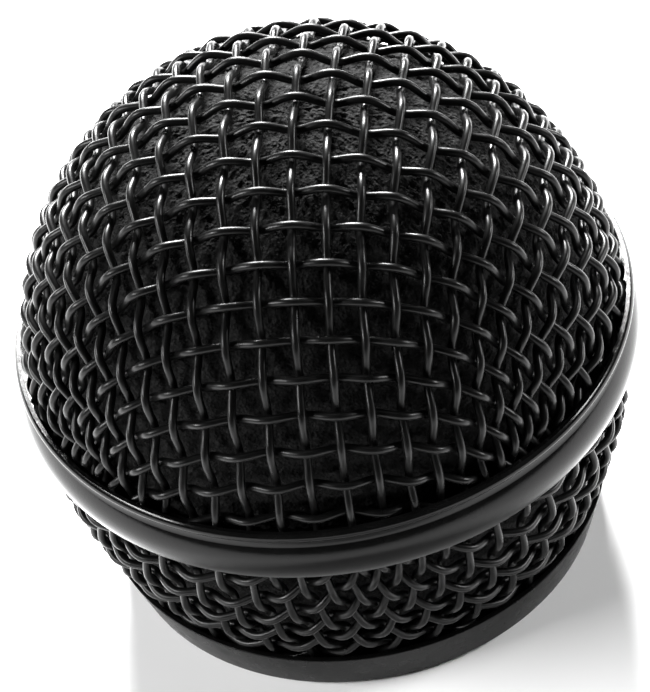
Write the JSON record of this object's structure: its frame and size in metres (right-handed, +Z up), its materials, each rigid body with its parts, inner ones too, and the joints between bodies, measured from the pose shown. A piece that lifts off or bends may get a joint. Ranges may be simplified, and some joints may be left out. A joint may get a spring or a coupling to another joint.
{
  "type": "microphone head",
  "caption": "Ball-grille head of a hand-held dynamic microphone: woven wire dome and basket, beaded band, screwed collar, foam and a moving-coil cartridge on a threaded base.",
  "frame": {"origin": "centre of the collar's foot, the ring that the head stands on", "axes": "+Z up the head's axis, through the top of the dome; the leads leave the cartridge along +X and -X"},
  "size_m": [0.051, 0.051, 0.0467],
  "materials": {
    "grille_enamel": "satin",
    "band_enamel": "satin",
    "collar_enamel": "satin",
    "open_foam": "matte",
    "base_alloy": "satin",
    "gasket_rubber": "matte",
    "board_laminate": "satin",
    "contact_plating": "polished",
    "solder_tin": "satin",
    "carrier_plastic": "matte",
    "screw_steel": "satin",
    "clamp_alloy": "satin",
    "mount_rubber": "matte",
    "cap_plastic": "satin",
    "acoustic_cloth": "matte",
    "film": "gloss",
    "ring_brass": "satin",
    "former_alloy": "satin",
    "copper_wire": "satin",
    "magnet_iron": "satin",
    "magnet_plating": "polished",
    "shell_alloy": "satin",
    "felt": "matte",
    "terminal_laminate": "satin",
    "lead_red": "satin",
    "lead_black": "satin"
  },
  "bodies": {
    "base": {"base_ring": "base_alloy", "grille_gasket": "gasket_rubber", "contact_board": "board_laminate", "outer_contact_ring": "contact_plating", "inner_contact_ring": "contact_plating", "centre_contact": "contact_plating", "solder_pads": "solder_tin", "cartridge_carrier": "carrier_plastic", "insert_screws": "screw_steel", "mount_clamp_ring": "clamp_alloy"},
    "cartridge": {"cartridge_shell": "shell_alloy", "resonator_cap": "cap_plastic", "front_cloth": "acoustic_cloth", "diaphragm_ring": "ring_brass", "cartridge_frame": "cap_plastic", "rear_port_cloth": "acoustic_cloth", "pole_piece": "magnet_iron", "magnet": "magnet_plating", "front_plate": "magnet_iron", "yoke_cup": "magnet_iron", "rear_chamber": "cap_plastic", "chamber_felt": "felt", "terminal_board": "terminal_laminate", "terminals": "solder_tin", "lead_hot": "lead_red", "lead_cold": "lead_black", "shock_mount": "mount_rubber"},
    "moving_coil": {"coil_former": "former_alloy", "coil_winding": "copper_wire", "diaphragm": "film"},
    "foam_liner": {"dome_foam": "open_foam", "basket_foam": "open_foam"},
    "grille": {"dome_mesh": "grille_enamel", "basket_mesh": "grille_enamel", "equator_band": "band_enamel", "band_inner_ring": "band_enamel", "grille_collar": "collar_enamel"}
  },
  "joints": [
    {"name": "cartridge_float", "type": "slide", "parent": "base", "child": "cartridge", "axis": [0, 0, 1], "range_m": [-0.0006, 0.0006], "stiffness_N_per_m": 4000, "deforming": ["shock_mount", "lead_hot", "lead_cold"]},
    {"name": "voice_coil_travel", "type": "slide", "parent": "cartridge", "child": "moving_coil", "axis": [0, 0, 1], "range_m": [-0.0003, 0.0003], "stiffness_N_per_m": 400, "deforming": ["diaphragm"]},
    {"name": "grille_lift", "type": "slide", "parent": "base", "child": "foam_liner", "axis": [0, 0, 1], "range_m": [0, 0.004]},
    {"name": "grille_turn", "type": "hinge", "parent": "foam_liner", "child": "grille", "pos_m": [0, 0, 0], "axis": [0, 0, 1], "range_deg": [0, 1440]}
  ],
  "couplings": [
    {"joint": "grille_lift", "follows": "grille_turn", "m_per_rad": 0.00015915}
  ]
}
